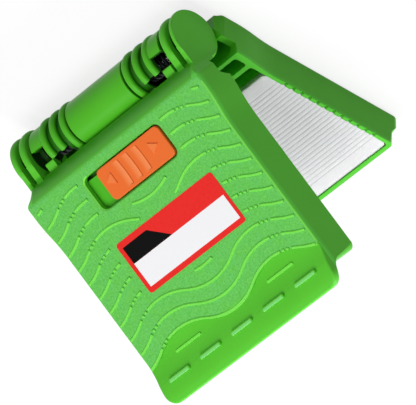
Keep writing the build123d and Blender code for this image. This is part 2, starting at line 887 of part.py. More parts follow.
def slider_tab():
    """The tab: a rounded block with three bowed saw-tooth steps and two raised arrowheads."""
    corner = window_round - running_gap
    tab = plate(tab_left, tab_right, tab_rear_y, tab_front_y, carriage_top, tab_top, corner)
    tab = fillet(tab.faces().sort_by(Axis.Z)[-1].edges(), tab_edge_round)
    depth = tab_front_y - tab_rear_y
    middle_y = -(tab_rear_y + tab_front_y) / 2
    swing = degrees(asin((depth / 2 - step_margin) / step_bow))
    section = flat(
        Polyline(
            (step_bow, -step_depth),
            (step_bow, step_depth),
            (step_bow - step_run, step_depth),
            (step_bow - step_run, 0),
            close=True,
        )
    )
    for place in tab_steps:
        cut = revolve(Plane.XZ * section, axis=Axis.Z, revolution_arc=2 * swing)
        tab -= Pos(tab_left + place - step_bow, middle_y, tab_top) * Rot(0, 0, -swing) * cut
    arrow_y = middle_y + arrow_setback
    for tip, side in ((tab_left + left_arrow_inset, 1), (tab_right - right_arrow_inset, -1)):
        head = flat(
            Polyline(
                (tip, arrow_y),
                (tip + side * arrow_length, arrow_y - side * arrow_half),
                (tip + side * arrow_length, arrow_y + side * arrow_half),
                close=True,
            )
        )
        tab += Pos(0, 0, tab_top - arrow_height) * extrude(head, 2 * arrow_height, taper=10)
    for x, y in tab_screw_places():
        tab -= post(small_screw_radius + screw_gap, x, y, carriage_top - 1, carriage_top + wall)
    return tab


def tab_screw_places():
    """Where the two screws of the tab stand, clear of the carriage's rear wall."""
    y = carriage_rear_y + carriage_wall + small_head_radius + running_gap
    return [(tab_left + tab_length * share, y) for share in (0.25, 0.75)]


def platen_screw_places():
    """Where the four screws of the platen stand."""
    xs = (carriage_left + platen_boss_inset, carriage_right - platen_boss_inset)
    ys = (carriage_rear_y + platen_boss_inset, carriage_front_y - platen_boss_inset)
    return [(x, y) for x in xs for y in ys]


def slider_carriage():
    """Flanged plate that runs on the rails, with a deep wall and two ribs that carry the platen."""
    left = carriage_left
    right = carriage_right
    body = plate(
        left,
        right,
        carriage_rear_y - rear_flange,
        carriage_front_y + front_flange,
        carriage_bottom,
        carriage_top,
        1.0,
    )
    skirt = plate(left, right, carriage_rear_y, carriage_front_y, platen_top, carriage_bottom)
    room = plate(
        left + carriage_wall,
        right - carriage_wall,
        carriage_rear_y + carriage_wall,
        carriage_front_y - carriage_wall,
        platen_top,
        carriage_bottom,
    )
    body += skirt - room
    third = (carriage_front_y - carriage_rear_y) / 3
    for index in (1, 2):
        y = carriage_rear_y + index * third
        body += plate(left + 1, right - 1, y - wall / 2, y + wall / 2, platen_top, carriage_bottom)
    for x, y in platen_screw_places():
        body += post(platen_boss_radius, x, y, platen_top, carriage_bottom)
    for x, y in platen_screw_places():
        body -= post(small_screw_radius + screw_gap, x, y, platen_top - 1, carriage_bottom)
    for x, y in tab_screw_places():
        body -= post(small_screw_radius + 2 * screw_gap, x, y, carriage_bottom - 1, carriage_top + 1)
    for x in rivet_places():
        y = -carriage_rear_y
        hole = Pos(x, y, leaf_z()) * Rot(90, 0, 0) * Cylinder(rivet_radius + screw_gap, 4 * carriage_wall)
        body -= hole
    return body


def tab_screws():
    length = carriage_plate + wall - 0.2
    return [
        screw(small_screw_radius, small_head_radius, small_head, x, y, carriage_bottom, 1, length)
        for x, y in tab_screw_places()
    ]


def pad_platen():
    """Stiff plate behind the upper pad, screwed to the carriage from below."""
    form = plate(
        carriage_left, carriage_right, carriage_rear_y, carriage_front_y, platen_bottom, platen_top, 1.0
    )
    for x, y in platen_screw_places():
        form -= post(small_screw_radius + 2 * screw_gap, x, y, platen_bottom - 1, platen_top + 1)
        form -= post(
            small_head_radius + screw_gap, x, y, platen_bottom - 1, platen_bottom + small_head + screw_gap
        )
    return form


def platen_screws():
    seat = platen_bottom + small_head + screw_gap
    length = platen_top - seat + 3.2
    return [
        screw(small_screw_radius, small_head_radius, small_head, x, y, seat, 1, length)
        for x, y in platen_screw_places()
    ]


def upper_pad(bottom, top):
    """Outline of the upper foam and cloth, a little inside the platen."""
    return plate(
        carriage_left + upper_pad_margin,
        carriage_right - upper_pad_margin,
        upper_pad_rear_y,
        carriage_front_y - upper_pad_margin,
        bottom,
        top,
        pad_corner,
    )


def rail(rear_y, front_y, boss_y):
    """A guide rail under the carriage's flange, with its two screw holes."""
    form = plate(-rail_half, rail_half, rear_y, front_y, rail_bottom, rail_top, 0.8)
    for side in (-1, 1):
        form -= post(
            small_screw_radius + 2 * screw_gap, side * rail_boss_x, boss_y, rail_bottom - 1, rail_top + 1
        )
    return form


def rear_guide_rail():
    """Rear rail, with two round notches that the detent leaf clicks into."""
    front_y = rear_rail_y + rear_rail_width
    form = rail(rear_rail_y, front_y, rear_boss_y)
    for shift in (0, tab_travel):
        form -= post(notch_radius, leaf_x - shift, front_y, rail_bottom - 1, rail_top + 1)
    return form


def front_guide_rail():
    return rail(carriage_front_y + running_gap, skirt_front_y - wall - running_gap, front_boss_y)


def rail_screws():
    length = rail_thickness + 2.4
    return [
        screw(small_screw_radius, small_head_radius, small_head, x, y, rail_bottom, 1, length)
        for x, y in rail_places()
    ]


def leaf_z():
    """Middle height of the detent leaf."""
    return (rail_top + rail_bottom) / 2


def rivet_places():
    """Where the leaf's two rivets stand along X."""
    reach = leaf_half - leaf_foot / 2
    return (leaf_x - reach, leaf_x + reach)


def detent_leaf():
    """A bowed steel strip with a round bump that reaches into the rail's notch."""
    seat = -carriage_rear_y
    rail_edge = -rear_rail_y - rear_rail_width
    bump_base = rail_edge - running_gap
    apex = rail_edge + leaf_reach

    def side(offset):
        foot = leaf_half - leaf_foot
        points = chain((leaf_x - leaf_half, seat + offset), (leaf_x - foot, seat + offset))
        points += chain(
            (leaf_x - foot, seat + offset), (leaf_x - leaf_bump_radius, bump_base - leaf_strip + offset)
        )
        points.append(
            ThreePointArc(
                (leaf_x - leaf_bump_radius, bump_base - leaf_strip + offset),
                (leaf_x, apex - leaf_strip + offset),
                (leaf_x + leaf_bump_radius, bump_base - leaf_strip + offset),
            )
        )
        points += chain(
            (leaf_x + leaf_bump_radius, bump_base - leaf_strip + offset), (leaf_x + foot, seat + offset)
        )
        points += chain((leaf_x + foot, seat + offset), (leaf_x + leaf_half, seat + offset))
        return points

    ends = chain((leaf_x - leaf_half, seat), (leaf_x - leaf_half, seat + leaf_strip))
    ends += chain((leaf_x + leaf_half, seat), (leaf_x + leaf_half, seat + leaf_strip))
    face = flat(side(0) + side(leaf_strip) + ends)
    strip = Pos(0, 0, leaf_z() - leaf_width / 2) * extrude(face, leaf_width)
    for x in rivet_places():
        hole = Pos(x, seat, leaf_z()) * Rot(90, 0, 0) * Cylinder(rivet_radius + screw_gap, 2)
        strip -= hole
    return strip


def leaf_rivets():
    seat = -carriage_rear_y + leaf_strip
    rivets = []
    for x in rivet_places():
        place = Pos(x, seat, leaf_z()) * Rot(90, 0, 0)
        shank = Pos(0, 0, carriage_wall / 2) * Cylinder(rivet_radius, carriage_wall)
        head = Pos(0, 0, -rivet_head / 2) * Cylinder(rivet_head_radius, rivet_head)
        rivets.append(place * (shank + head))
    return rivets


def write(name, pieces, is_open):
    """Moves a piece from the hinge frame to the part's frame and writes it."""
    solids = pieces if isinstance(pieces, list) else [pieces]
    turn = Rot(-open_angle, 0, 0) if is_open else Rot(0, 0, 0)
    place = Pos(0, hinge_setback, hinge_height) * turn
    moved = Compound(children=[solid for piece in solids for solid in (place * piece).solids()])
    export_step(moved, f"parts/{name}.step")


spring = torsion_spring()
fixed_pieces = {
    "base_shell": base_shell(),
    "lower_pad_tray": lower_pad_tray(),
    "tray_screws": tray_screws(),
    "lower_foam_pad": lower_foam_pad(),
    "lower_wiping_cloth": lower_wiping_cloth(),
    "hinge_pin": hinge_pin(),
    "torsion_spring_right": spring,
    "torsion_spring_left": mirror(spring, about=Plane.YZ),
}
opening_pieces = {
    "cover_shell": cover_shell(),
    "label": label(),
    "rear_guide_rail": rear_guide_rail(),
    "front_guide_rail": front_guide_rail(),
    "rail_screws": rail_screws(),
    "slider_tab": slider_tab(),
    "slider_carriage": slider_carriage(),
    "tab_screws": tab_screws(),
    "pad_platen": pad_platen(),
    "platen_screws": platen_screws(),
    "upper_foam_pad": upper_pad(upper_foam_bottom, platen_bottom),
    "upper_wiping_cloth": upper_pad(upper_cloth_bottom, upper_foam_bottom),
    "detent_leaf": detent_leaf(),
    "leaf_rivets": leaf_rivets(),
}
for name, pieces in fixed_pieces.items():
    write(name, pieces, False)
for name, pieces in opening_pieces.items():
    write(name, pieces, True)
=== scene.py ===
import json
import math

import bmesh
import bpy
from mathutils import Matrix, Vector


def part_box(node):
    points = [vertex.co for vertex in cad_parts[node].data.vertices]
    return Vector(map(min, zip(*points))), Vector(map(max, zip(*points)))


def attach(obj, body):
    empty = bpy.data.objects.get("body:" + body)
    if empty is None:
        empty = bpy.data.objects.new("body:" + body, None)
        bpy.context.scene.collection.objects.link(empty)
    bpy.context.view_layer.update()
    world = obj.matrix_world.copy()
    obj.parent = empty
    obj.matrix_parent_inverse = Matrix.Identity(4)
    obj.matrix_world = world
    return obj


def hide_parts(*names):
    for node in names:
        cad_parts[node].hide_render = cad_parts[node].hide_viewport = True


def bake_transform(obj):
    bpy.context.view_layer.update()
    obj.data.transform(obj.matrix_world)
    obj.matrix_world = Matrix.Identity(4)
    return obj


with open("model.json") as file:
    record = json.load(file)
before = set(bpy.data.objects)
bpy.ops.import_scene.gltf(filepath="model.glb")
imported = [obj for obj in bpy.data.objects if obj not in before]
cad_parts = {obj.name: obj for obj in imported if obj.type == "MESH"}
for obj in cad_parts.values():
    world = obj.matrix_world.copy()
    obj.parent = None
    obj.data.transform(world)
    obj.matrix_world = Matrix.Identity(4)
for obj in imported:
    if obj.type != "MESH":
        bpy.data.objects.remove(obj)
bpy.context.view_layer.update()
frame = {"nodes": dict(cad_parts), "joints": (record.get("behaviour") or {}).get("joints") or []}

MM = 0.001
nodes = frame["nodes"]

# Where the hinge pin lies, and how far the cover stands open at rest
HINGE = next(joint for joint in frame["joints"] if joint["name"] == "cover_hinge")
PIN = Vector(HINGE["pos_m"])
OPEN_ANGLE = math.radians(HINGE["range_deg"][1])
FROM_BASE = Matrix.Translation(PIN) @ Matrix.Scale(MM, 4)
FROM_COVER = Matrix.Translation(PIN) @ Matrix.Rotation(-OPEN_ANGLE, 4, "X") @ Matrix.Scale(MM, 4)

# Lengths are in mm from the hinge pin, with the cover closed: x along the pin, y behind it, so that
# what lies forward is negative, and z above it.

# The cover's grained panel, and the wave of the last ridge, which parts it from the smooth grip
PANEL_TOP = 11.75
PANEL_SIDE = 35.0
PANEL_REAR = -11.4
WAVE_PITCH = 40.0
WAVE_CENTRE = 0.5
WAVE_SWING = 2.45
LAST_WAVE_MIDDLE = -62.85
RIDGE_HALF_WIDTH = 0.7

# The left end of the slider's mouth, where the panel's edge gets a painted highlight
MOUTH_ACROSS = (-17.0, -13.9)
MOUTH_ALONG = (-23.7, -12.0)

# The grip's raised dashes and its rolled front edge, which carry painted highlights
SHORT_DASH_PITCH = 13.55
SHORT_DASH_ACROSS = (-4.0, 4.0)
SHORT_DASH_ALONG = (-71.15, -70.3)
SHORT_DASH_ROW = (-2.5 * SHORT_DASH_PITCH, 2.5 * SHORT_DASH_PITCH)
LONG_DASH_ACROSS = (14.4, 25.2)
LONG_DASH_ALONG = (-65.6, -64.8)
LIP_START = -75.5

# Round the hinge, as distances from the pin's middle line: the base's spring rooms and grooves, the
# room inside the cover's discs, and where the cover's rear slope and the base's rims start
SPRING_ROOM = 5.5
GROOVE_FLOOR = 6.5
DISC_ROOM = 5.7
SLOPE_START = 8.8
RIM_START = 9.0

# How far out to the sides the discs' room goes, and how high the base's rims are
DISC_ROOM_SIDE = 34.8
RIM_TOP = -0.15

# The slider's orange tab: its bowed steps and its two arrowheads, which carry painted highlights and painted
# shade
TAB_TOP = 12.15
TAB_MIDDLE = -17.85
STEP_BOW = 30.0
STEP_LENGTH = 7.8
STEP_SLOPE = 1.5
STEP_PLACES = (-1.45, 2.55, 6.55)
STEP_HIGHLIGHT_SHARE = 0.8
ARROW_HIGHLIGHT_SHARE = 0.32

# The label's fields: the white panel, and the black block with its slanted end
WHITE_ACROSS = (-18.5, 20.3)
WHITE_ALONG = (-46.9, -39.2)
BLACK_ACROSS = (-18.5, 0.0)
BLACK_ALONG = (-39.2, -33.9)
SLANT = 1.21
SLANT_END = -49.2
PRINT_EDGE = 0.06

# The wiping cloths and the foam under them: pressed channels, corners and rolled edges
CHANNEL_START = -29.1
CHANNEL_PITCH = 1.415
CHANNELS = 25
CHANNEL_DEPTH = 0.08
CHANNEL_HALF_WIDTH = 0.26
CHANNEL_INSET = 0.2
CHANNEL_FADE = 0.8
PAD_CORNER = 1.8
EDGE_ROLL = 0.7
CLOTH_ROLL_SHARE = 0.55
FOAM_ROLL_SHARE = 0.12
ROW_STEP = 0.2
CORNER_ROWS = 8
COLUMNS = 60


def add(tree, kind, inputs=(), **settings):
    """Adds a node with its settings; an input is a value, or the socket that it takes its value from."""
    made = tree.nodes.new(kind)
    for name, value in settings.items():
        setattr(made, name, value)
    for name, value in dict(inputs).items():
        if isinstance(value, bpy.types.NodeSocket):
            tree.links.new(value, made.inputs[name])
        else:
            made.inputs[name].default_value = value
    return made


def linear(hex_colour):
    """An sRGB hex colour as linear red, green, blue and full alpha."""
    channels = []
    for start in (1, 3, 5):
        value = int(hex_colour[start:start + 2], 16) / 255
        channels.append(value / 12.92 if value <= 0.04045 else ((value + 0.055) / 1.055) ** 2.4)
    return (*channels, 1.0)


def new_material(name):
    """An empty material, its tree and its shader."""
    material = bpy.data.materials.new(name)
    material.use_nodes = True
    tree = material.node_tree
    tree.nodes.clear()
    shader = add(tree, "ShaderNodeBsdfPrincipled")
    add(tree, "ShaderNodeOutputMaterial", {"Surface": shader.outputs["BSDF"]})
    return material, tree, shader


def lay(tree, ground, *layers):
    """Lays colours over a ground, each one by its own mask. A colour is sRGB hex or a socket."""
    for mask, colour in layers:
        mix = {"Factor": mask, "A": ground, "B": colour}
        for name in ("A", "B"):
            if isinstance(mix[name], str):
                mix[name] = linear(mix[name])
        ground = add(tree, "ShaderNodeMix", mix, data_type="RGBA").outputs["Result"]
    return ground


def region(tree, *bands, share=1.0):
    """A mask: share where every value lies inside its band and 0 outside, over soft edges. A band is a
    value, its low and high limits, of which either may be None, and half the width of its soft edge."""
    mask = share
    for value, low, high, soft in bands:
        for limit, outside, inside in ((low, 0.0, 1.0), (high, 1.0, 0.0)):
            if limit is None:
                continue
            ramp = {
                "Value": value,
                "From Min": limit - soft,
                "From Max": limit + soft,
                "To Min": outside,
                "To Max": inside,
            }
            edge = add(tree, "ShaderNodeMapRange", ramp, interpolation_type="SMOOTHSTEP").outputs["Result"]
            mask = add(tree, "ShaderNodeMath", {0: mask, 1: edge}, operation="MULTIPLY").outputs["Value"]
    return mask


def places(tree, turn):
    """Places in mm from the hinge pin: along it, behind it and above it. turn is how far the body
    stands open at rest, and is undone."""
    rest = add(tree, "ShaderNodeTexCoord")
    closed = add(
        tree,
        "ShaderNodeMapping",
        {
            "Vector": rest.outputs["Object"],
            "Location": Matrix.Rotation(turn, 3, "X") @ -PIN / MM,
            "Rotation": (turn, 0, 0),
            "Scale": (1 / MM, 1 / MM, 1 / MM),
        },
        vector_type="POINT",
    )
    return add(tree, "ShaderNodeSeparateXYZ", {"Vector": closed.outputs["Vector"]}).outputs


def from_pin(tree, y, z):
    """How far a place is from the pin's middle line."""
    level = add(tree, "ShaderNodeCombineXYZ", {"Y": y, "Z": z})
    reach = add(tree, "ShaderNodeVectorMath", {0: level.outputs["Vector"]}, operation="LENGTH")
    return reach.outputs["Value"]


def drift(tree, low, high):
    """Two tones that drift into each other where the plastic flowed."""
    place = add(tree, "ShaderNodeTexCoord").outputs["Object"]
    flow_mm = 14.0
    flow = add(tree, "ShaderNodeTexNoise", {"Vector": place, "Scale": 1 / (flow_mm * MM), "Detail": 1.0})
    return lay(tree, low, (flow.outputs["Fac"], high))


def panel_regions(tree, x, y, z, side):
    """The grained panel, and masks for painted highlights: on its ridges, on the shoulder under its side
    edges, and on its edges along both sides and round the left end of the slider's mouth."""
    turn = 2 * math.pi / WAVE_PITCH
    across = add(tree, "ShaderNodeMath", {0: x, 1: turn, 2: -turn * WAVE_CENTRE}, operation="MULTIPLY_ADD")
    wave = add(tree, "ShaderNodeMath", {0: across.outputs["Value"]}, operation="COSINE").outputs["Value"]
    swung = {0: wave, 1: WAVE_SWING, 2: y}
    line = add(tree, "ShaderNodeMath", swung, operation="MULTIPLY_ADD").outputs["Value"]
    behind = (line, LAST_WAVE_MIDDLE, None, 0.08)
    beside = (side, PANEL_SIDE, None, 0.1)
    edge_height = (z, PANEL_TOP - 0.4, PANEL_TOP - 0.05, 0.06)
    panel = region(tree, behind, (z, PANEL_TOP - 0.2, None, 0.15), (z, None, PANEL_TOP + 0.08, 0.07))
    ridge_highlight = region(
        tree, (line, LAST_WAVE_MIDDLE - RIDGE_HALF_WIDTH, None, 0.08), (z, PANEL_TOP + 0.08, None, 0.07)
    )
    shoulder_highlight = region(tree, beside, (z, PANEL_TOP - 1.3, None, 1.1), (z, None, PANEL_TOP - 0.2, 0.15))
    side_edge_highlight = region(tree, behind, beside, (y, None, PANEL_REAR, 0.2), edge_height)
    mouth_edge_highlight = region(tree, (x, *MOUTH_ACROSS, 0.06), (y, *MOUTH_ALONG, 0.06), edge_height)
    return panel, ridge_highlight, shoulder_highlight, side_edge_highlight, mouth_edge_highlight


def grip_regions(tree, x, y, side):
    """Masks for painted highlights on the short and the long dashes of the grip, and on its rolled front
    edge.
    """
    ends = {0: x, 1: SHORT_DASH_PITCH / 2, 2: -SHORT_DASH_PITCH / 2}
    from_dash_middle = add(tree, "ShaderNodeMath", ends, operation="WRAP").outputs["Value"]
    short_dash_highlight = region(
        tree,
        (from_dash_middle, *SHORT_DASH_ACROSS, 0.2),
        (y, *SHORT_DASH_ALONG, 0.15),
        (x, *SHORT_DASH_ROW, 0.06),
    )
    long_dash_highlight = region(tree, (side, *LONG_DASH_ACROSS, 0.2), (y, *LONG_DASH_ALONG, 0.1))
    return short_dash_highlight, long_dash_highlight, region(tree, (y, None, LIP_START, 2.0))


def hinge_regions(tree, y, z, side):
    """Painted shade in the cover's room inside its discs, and on the slope between the panel and the hinge.
    """
    reach = from_pin(tree, y, z)
    disc_room_shade = region(tree, (reach, None, DISC_ROOM, 0.3), (side, None, DISC_ROOM_SIDE, 0.2))
    slope = region(
        tree,
        (reach, SLOPE_START, None, 0.3),
        (y, PANEL_REAR, None, 0.3),
        (side, None, PANEL_SIDE, 0.7),
        (z, None, PANEL_TOP - 2.2, 2.0),
    )
    return disc_room_shade, slope


def spark_grained_abs():
    """Injection-moulded green ABS. The tool's panel is spark eroded, which gives the eye a pale, matt,
    sandy field; its ridges and all the rest are polished, so they are yellower and take a soft shine.
    Painted highlights lighten the ridges, the dashes, the rolled lip, the shoulder and edges along the
    sides and the left end of the slider's mouth; painted shade darkens the room inside the discs and
    the slope between the panel and the hinge. The real grain is about 0.1 mm, and is drawn five times
    as coarse so that it shows."""
    material, tree, shader = new_material("spark_grained_green_abs")
    x, y, z = places(tree, OPEN_ANGLE)
    side = add(tree, "ShaderNodeMath", {0: x}, operation="ABSOLUTE").outputs["Value"]
    panel, ridge_highlight, shoulder_highlight, side_edge_highlight, mouth_edge_highlight = panel_regions(tree, x, y, z, side)
    short_dash_highlight, long_dash_highlight, lip_highlight = grip_regions(tree, x, y, side)
    disc_room_shade, slope = hinge_regions(tree, y, z, side)
    place = add(tree, "ShaderNodeTexCoord").outputs["Object"]
    grain_mm = 0.55
    grain = add(
        tree,
        "ShaderNodeTexNoise",
        {"Vector": place, "Scale": 1 / (grain_mm * MM), "Detail": 2.0, "Roughness": 0.6},
    ).outputs["Fac"]
    mottle_mm = 3.5
    mottle = add(
        tree, "ShaderNodeTexNoise", {"Vector": place, "Scale": 1 / (mottle_mm * MM), "Detail": 1.0}
    ).outputs["Fac"]
    pale_grain = lay(tree, "#80E25C", (mottle, "#80DE80"))
    colour = lay(
        tree,
        drift(tree, "#56C22C", "#5ECA34"),
        # Painted highlight on the rolled front lip
        (lip_highlight, "#5ED038"),
        # Painted highlight on the short dashes
        (short_dash_highlight, "#82E078"),
        # Painted highlight on the long dashes
        (long_dash_highlight, "#78E84C"),
        # Painted shade in the room inside the cover's discs, round the pin
        (disc_room_shade, "#11380A"),
        # Painted shade on the slope between the panel and the hinge, darker towards the hinge
        (slope, "#359410"),
        # Painted highlight on the side walls just under the panel's side edges, fading downward
        (shoulder_highlight, "#66E64A"),
        # Painted highlight on the crowns of the ridges
        (ridge_highlight, "#7CE654"),
        (panel, lay(tree, "#42A832", (grain, pale_grain))),
        # Painted highlight along the panel's rounded side edges
        (side_edge_highlight, "#86F25A"),
        # Painted highlight on the panel's edge round the left end of the slider's mouth
        (mouth_edge_highlight, "#86F25A"),
    )
    tree.links.new(colour, shader.inputs["Base Color"])
    roughness = add(tree, "ShaderNodeMapRange", {"Value": panel, "To Min": 0.26, "To Max": 0.62})
    tree.links.new(roughness.outputs["Result"], shader.inputs["Roughness"])
    shader.inputs["IOR"].default_value = 1.52
    shader.inputs["Specular IOR Level"].default_value = 0.12
    soft_edge = add(tree, "ShaderNodeBevel", {"Radius": 0.28 * MM}, samples=6)
    height = add(tree, "ShaderNodeMath", {0: grain, 1: panel}, operation="MULTIPLY")
    bump = add(
        tree,
        "ShaderNodeBump",
        {
            "Strength": 0.55,
            "Distance": 0.05 * MM,
            "Height": height.outputs["Value"],
            "Normal": soft_edge.outputs["Normal"],
        },
    )
    tree.links.new(bump.outputs["Normal"], shader.inputs["Normal"])
    return material


def abs_shell(name, roughness):
    """A moulded ABS finish from a polished tool: softly broken edges, and fine pores that are drawn
    coarse so that they show. The colour is linked by the caller."""
    material, tree, shader = new_material(name)
    place = add(tree, "ShaderNodeTexCoord").outputs["Object"]
    shader.inputs["Roughness"].default_value = roughness
    shader.inputs["IOR"].default_value = 1.52
    shader.inputs["Specular IOR Level"].default_value = 0.12
    pores_mm = 0.5
    pores = add(tree, "ShaderNodeTexNoise", {"Vector": place, "Scale": 1 / (pores_mm * MM), "Detail": 2.0})
    soft_edge = add(tree, "ShaderNodeBevel", {"Radius": 0.15 * MM}, samples=6)
    bump = add(
        tree,
        "ShaderNodeBump",
        {
            "Strength": 0.12,
            "Distance": 0.02 * MM,
            "Height": pores.outputs["Fac"],
            "Normal": soft_edge.outputs["Normal"],
        },
    )
    tree.links.new(bump.outputs["Normal"], shader.inputs["Normal"])
    return material, tree, shader


def polished_abs(name, low, high, roughness):
    """Injection-moulded ABS from a polished tool: one even colour with a faint drift where it flowed,
    and a soft shine that breaks at the rounded edges."""
    material, tree, shader = abs_shell(name, roughness)
    tree.links.new(drift(tree, low, high), shader.inputs["Base Color"])
    return material


def barrel_abs():
    """The base's polished green ABS, with a painted highlight along its rims. Round the hinge pin, in the
    spring rooms and in the grooves between the fins, painted shade darkens it, so that each fin stands out."""
    material, tree, shader = abs_shell("polished_green_abs", roughness=0.28)
    _, y, z = places(tree, 0.0)
    reach = from_pin(tree, y, z)
    round_rim = (reach, RIM_START, None, 0.5)
    colour = lay(
        tree,
        drift(tree, "#4EB622", "#56BE2A"),
        # Painted highlight along the top of the base's rims, strongest at the very top
        (region(tree, (z, RIM_TOP - 0.9, None, 0.8), round_rim), "#58CC34"),
        (region(tree, (z, RIM_TOP - 0.15, None, 0.1), round_rim), "#5ED03C"),
        # Painted shade in the grooves between the fins and round the pin, darkest in the spring rooms
        (region(tree, (reach, None, GROOVE_FLOOR, 0.35)), "#226A0C"),
        (region(tree, (reach, None, SPRING_ROOM, 0.3)), "#11380A"),
    )
    tree.links.new(colour, shader.inputs["Base Color"])
    return material


def stepped_abs():
    """Satin orange ABS of the slider's tab. Its three bowed steps carry a painted highlight on each slope
    and a painted shade line at the foot of each, and its two arrowheads a painted highlight."""
    material, tree, shader = abs_shell("satin_orange_abs", roughness=0.42)
    x, y, z = places(tree, OPEN_ANGLE)
    aside = add(tree, "ShaderNodeMath", {0: y, 1: TAB_MIDDLE}, operation="SUBTRACT").outputs["Value"]
    squared = add(tree, "ShaderNodeMath", {0: aside, 1: aside}, operation="MULTIPLY").outputs["Value"]
    bow = {0: squared, 1: 0.5 / STEP_BOW, 2: x}
    bowed = add(tree, "ShaderNodeMath", bow, operation="MULTIPLY_ADD").outputs["Value"]
    inside = (squared, None, (STEP_LENGTH / 2) ** 2, 1.0)
    step_highlights = []
    step_foot_shades = []
    # Each step gets a painted highlight on its slope and a painted shade line at its foot
    for place in STEP_PLACES:
        slope = ((bowed, place - STEP_SLOPE, None, 1.3), (bowed, None, place, 0.1))
        step_highlights.append((region(tree, inside, *slope, share=STEP_HIGHLIGHT_SHARE), "#FF9A5C"))
        step_foot_shades.append((region(tree, inside, (bowed, place - 0.1, place + 0.35, 0.1)), "#C64E12"))
    # Painted highlight on the raised arrowheads
    arrowhead_highlight = region(tree, (z, TAB_TOP + 0.15, None, 0.08), share=ARROW_HIGHLIGHT_SHARE)
    colour = lay(tree, drift(tree, "#EA6C2A", "#F07432"), *step_highlights, (arrowhead_highlight, "#FF9A5C"), *step_foot_shades)
    tree.links.new(colour, shader.inputs["Base Color"])
    return material


def steel(name, dark, bright, roughness, grain_mm):
    """Drawn or turned steel: a neutral metal with fine marks from the die or the tool, which are drawn
    coarse so that they show."""
    material, tree, shader = new_material(name)
    place = add(tree, "ShaderNodeTexCoord").outputs["Object"]
    marks = add(
        tree, "ShaderNodeTexNoise", {"Vector": place, "Scale": 1 / (grain_mm * MM), "Detail": 3.0}
    ).outputs["Fac"]
    tree.links.new(lay(tree, dark, (marks, bright)), shader.inputs["Base Color"])
    shader.inputs["Metallic"].default_value = 1.0
    shader.inputs["Roughness"].default_value = roughness
    bump = add(tree, "ShaderNodeBump", {"Strength": 0.2, "Distance": 0.01 * MM, "Height": marks})
    tree.links.new(bump.outputs["Normal"], shader.inputs["Normal"])
    return material


def printed_film():
    """Screen-printed vinyl label: a red ground, a white panel and a black block with a slanted end,
    under a thin varnish that takes little shine. The ink is a little uneven."""
    material, tree, shader = new_material("printed_vinyl_film")
    x, y, _ = places(tree, OPEN_ANGLE)
    slanted = add(tree, "ShaderNodeMath", {0: y, 1: SLANT, 2: x}, operation="MULTIPLY_ADD").outputs["Value"]
    white = region(tree, (x, *WHITE_ACROSS, PRINT_EDGE), (y, *WHITE_ALONG, PRINT_EDGE))
    black = region(
        tree,
        (x, *BLACK_ACROSS, PRINT_EDGE),
        (y, *BLACK_ALONG, PRINT_EDGE),
        (slanted, None, SLANT_END, PRINT_EDGE),
    )
    place = add(tree, "ShaderNodeTexCoord").outputs["Object"]
    ink_mm = 0.8
    ink = add(
        tree, "ShaderNodeTexNoise", {"Vector": place, "Scale": 1 / (ink_mm * MM), "Detail": 2.0}
    ).outputs["Fac"]
    colour = lay(tree, "#E62A26", (ink, "#F23430"), (white, "#F6F6F8"), (black, "#080808"))
    tree.links.new(colour, shader.inputs["Base Color"])
    shader.inputs["Roughness"].default_value = 0.5
    shader.inputs["IOR"].default_value = 1.5
    shader.inputs["Specular IOR Level"].default_value = 0.04
    return material


def microfibre():
    """Knitted polyester wiping cloth: white with a faint cool tint, its loops about 0.35 mm apart,
    drawn a little coarse so that they show, and a soft sheen at low angles."""
    material, tree, shader = new_material("knitted_white_microfibre")
    place = add(tree, "ShaderNodeTexCoord").outputs["Object"]
    loop_mm = 0.45
    loops = add(
        tree, "ShaderNodeTexVoronoi", {"Vector": place, "Scale": 1 / (loop_mm * MM), "Randomness": 0.55}
    )
    fluff_mm = 2.5
    fluff = add(tree, "ShaderNodeTexNoise", {"Vector": place, "Scale": 1 / (fluff_mm * MM), "Detail": 3.0})
    pressed = add(tree, "ShaderNodeAttribute", attribute_name="pressed").outputs["Fac"]
    # The pressed channels are painted grey as painted shade in the creases
    colour = lay(tree, "#E6E5E8", (fluff.outputs["Fac"], "#F0EFF1"), (pressed, "#D6D5D9"))
    tree.links.new(colour, shader.inputs["Base Color"])
    shader.inputs["Roughness"].default_value = 0.9
    shader.inputs["Sheen Weight"].default_value = 0.25
    shader.inputs["Sheen Roughness"].default_value = 0.5
    bump = add(
        tree,
        "ShaderNodeBump",
        {"Strength": 0.35, "Distance": 0.08 * MM, "Height": loops.outputs["Distance"]},
    )
    tree.links.new(bump.outputs["Normal"], shader.inputs["Normal"])
    return material


def cell_foam():
    """Closed-cell polyethylene foam, cut from a sheet: pale grey, matt, with open cut cells."""
    material, tree, shader = new_material("cut_polyethylene_foam")
    place = add(tree, "ShaderNodeTexCoord").outputs["Object"]
    cell_mm = 0.4
    cells = add(
        tree, "ShaderNodeTexVoronoi", {"Vector": place, "Scale": 1 / (cell_mm * MM)}
    ).outputs["Distance"]
    tree.links.new(lay(tree, "#8E9094", (cells, "#C9CACD")), shader.inputs["Base Color"])
    shader.inputs["Roughness"].default_value = 0.95
    bump = add(tree, "ShaderNodeBump", {"Strength": 0.6, "Distance": 0.12 * MM, "Height": cells})
    tree.links.new(bump.outputs["Normal"], shader.inputs["Normal"])
    return material


def dress(names, material):
    """Gives CAD nodes their finish."""
    for name in names:
        for slot in nodes[name].material_slots:
            slot.link = "OBJECT"
            slot.material = material


def cover_box(name):
    """A cover node's lowest and highest corners in mm from the pin, with the cover closed."""
    to_closed = FROM_COVER.inverted()
    corners = [to_closed @ vertex.co for vertex in nodes[name].data.vertices]
    low = [min(corner[axis] for corner in corners) for axis in range(3)]
    high = [max(corner[axis] for corner in corners) for axis in range(3)]
    return low, high


def base_box(name):
    """A base node's lowest and highest corners in mm from the pin."""
    low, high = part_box(name)
    return (low - PIN) / MM, (high - PIN) / MM


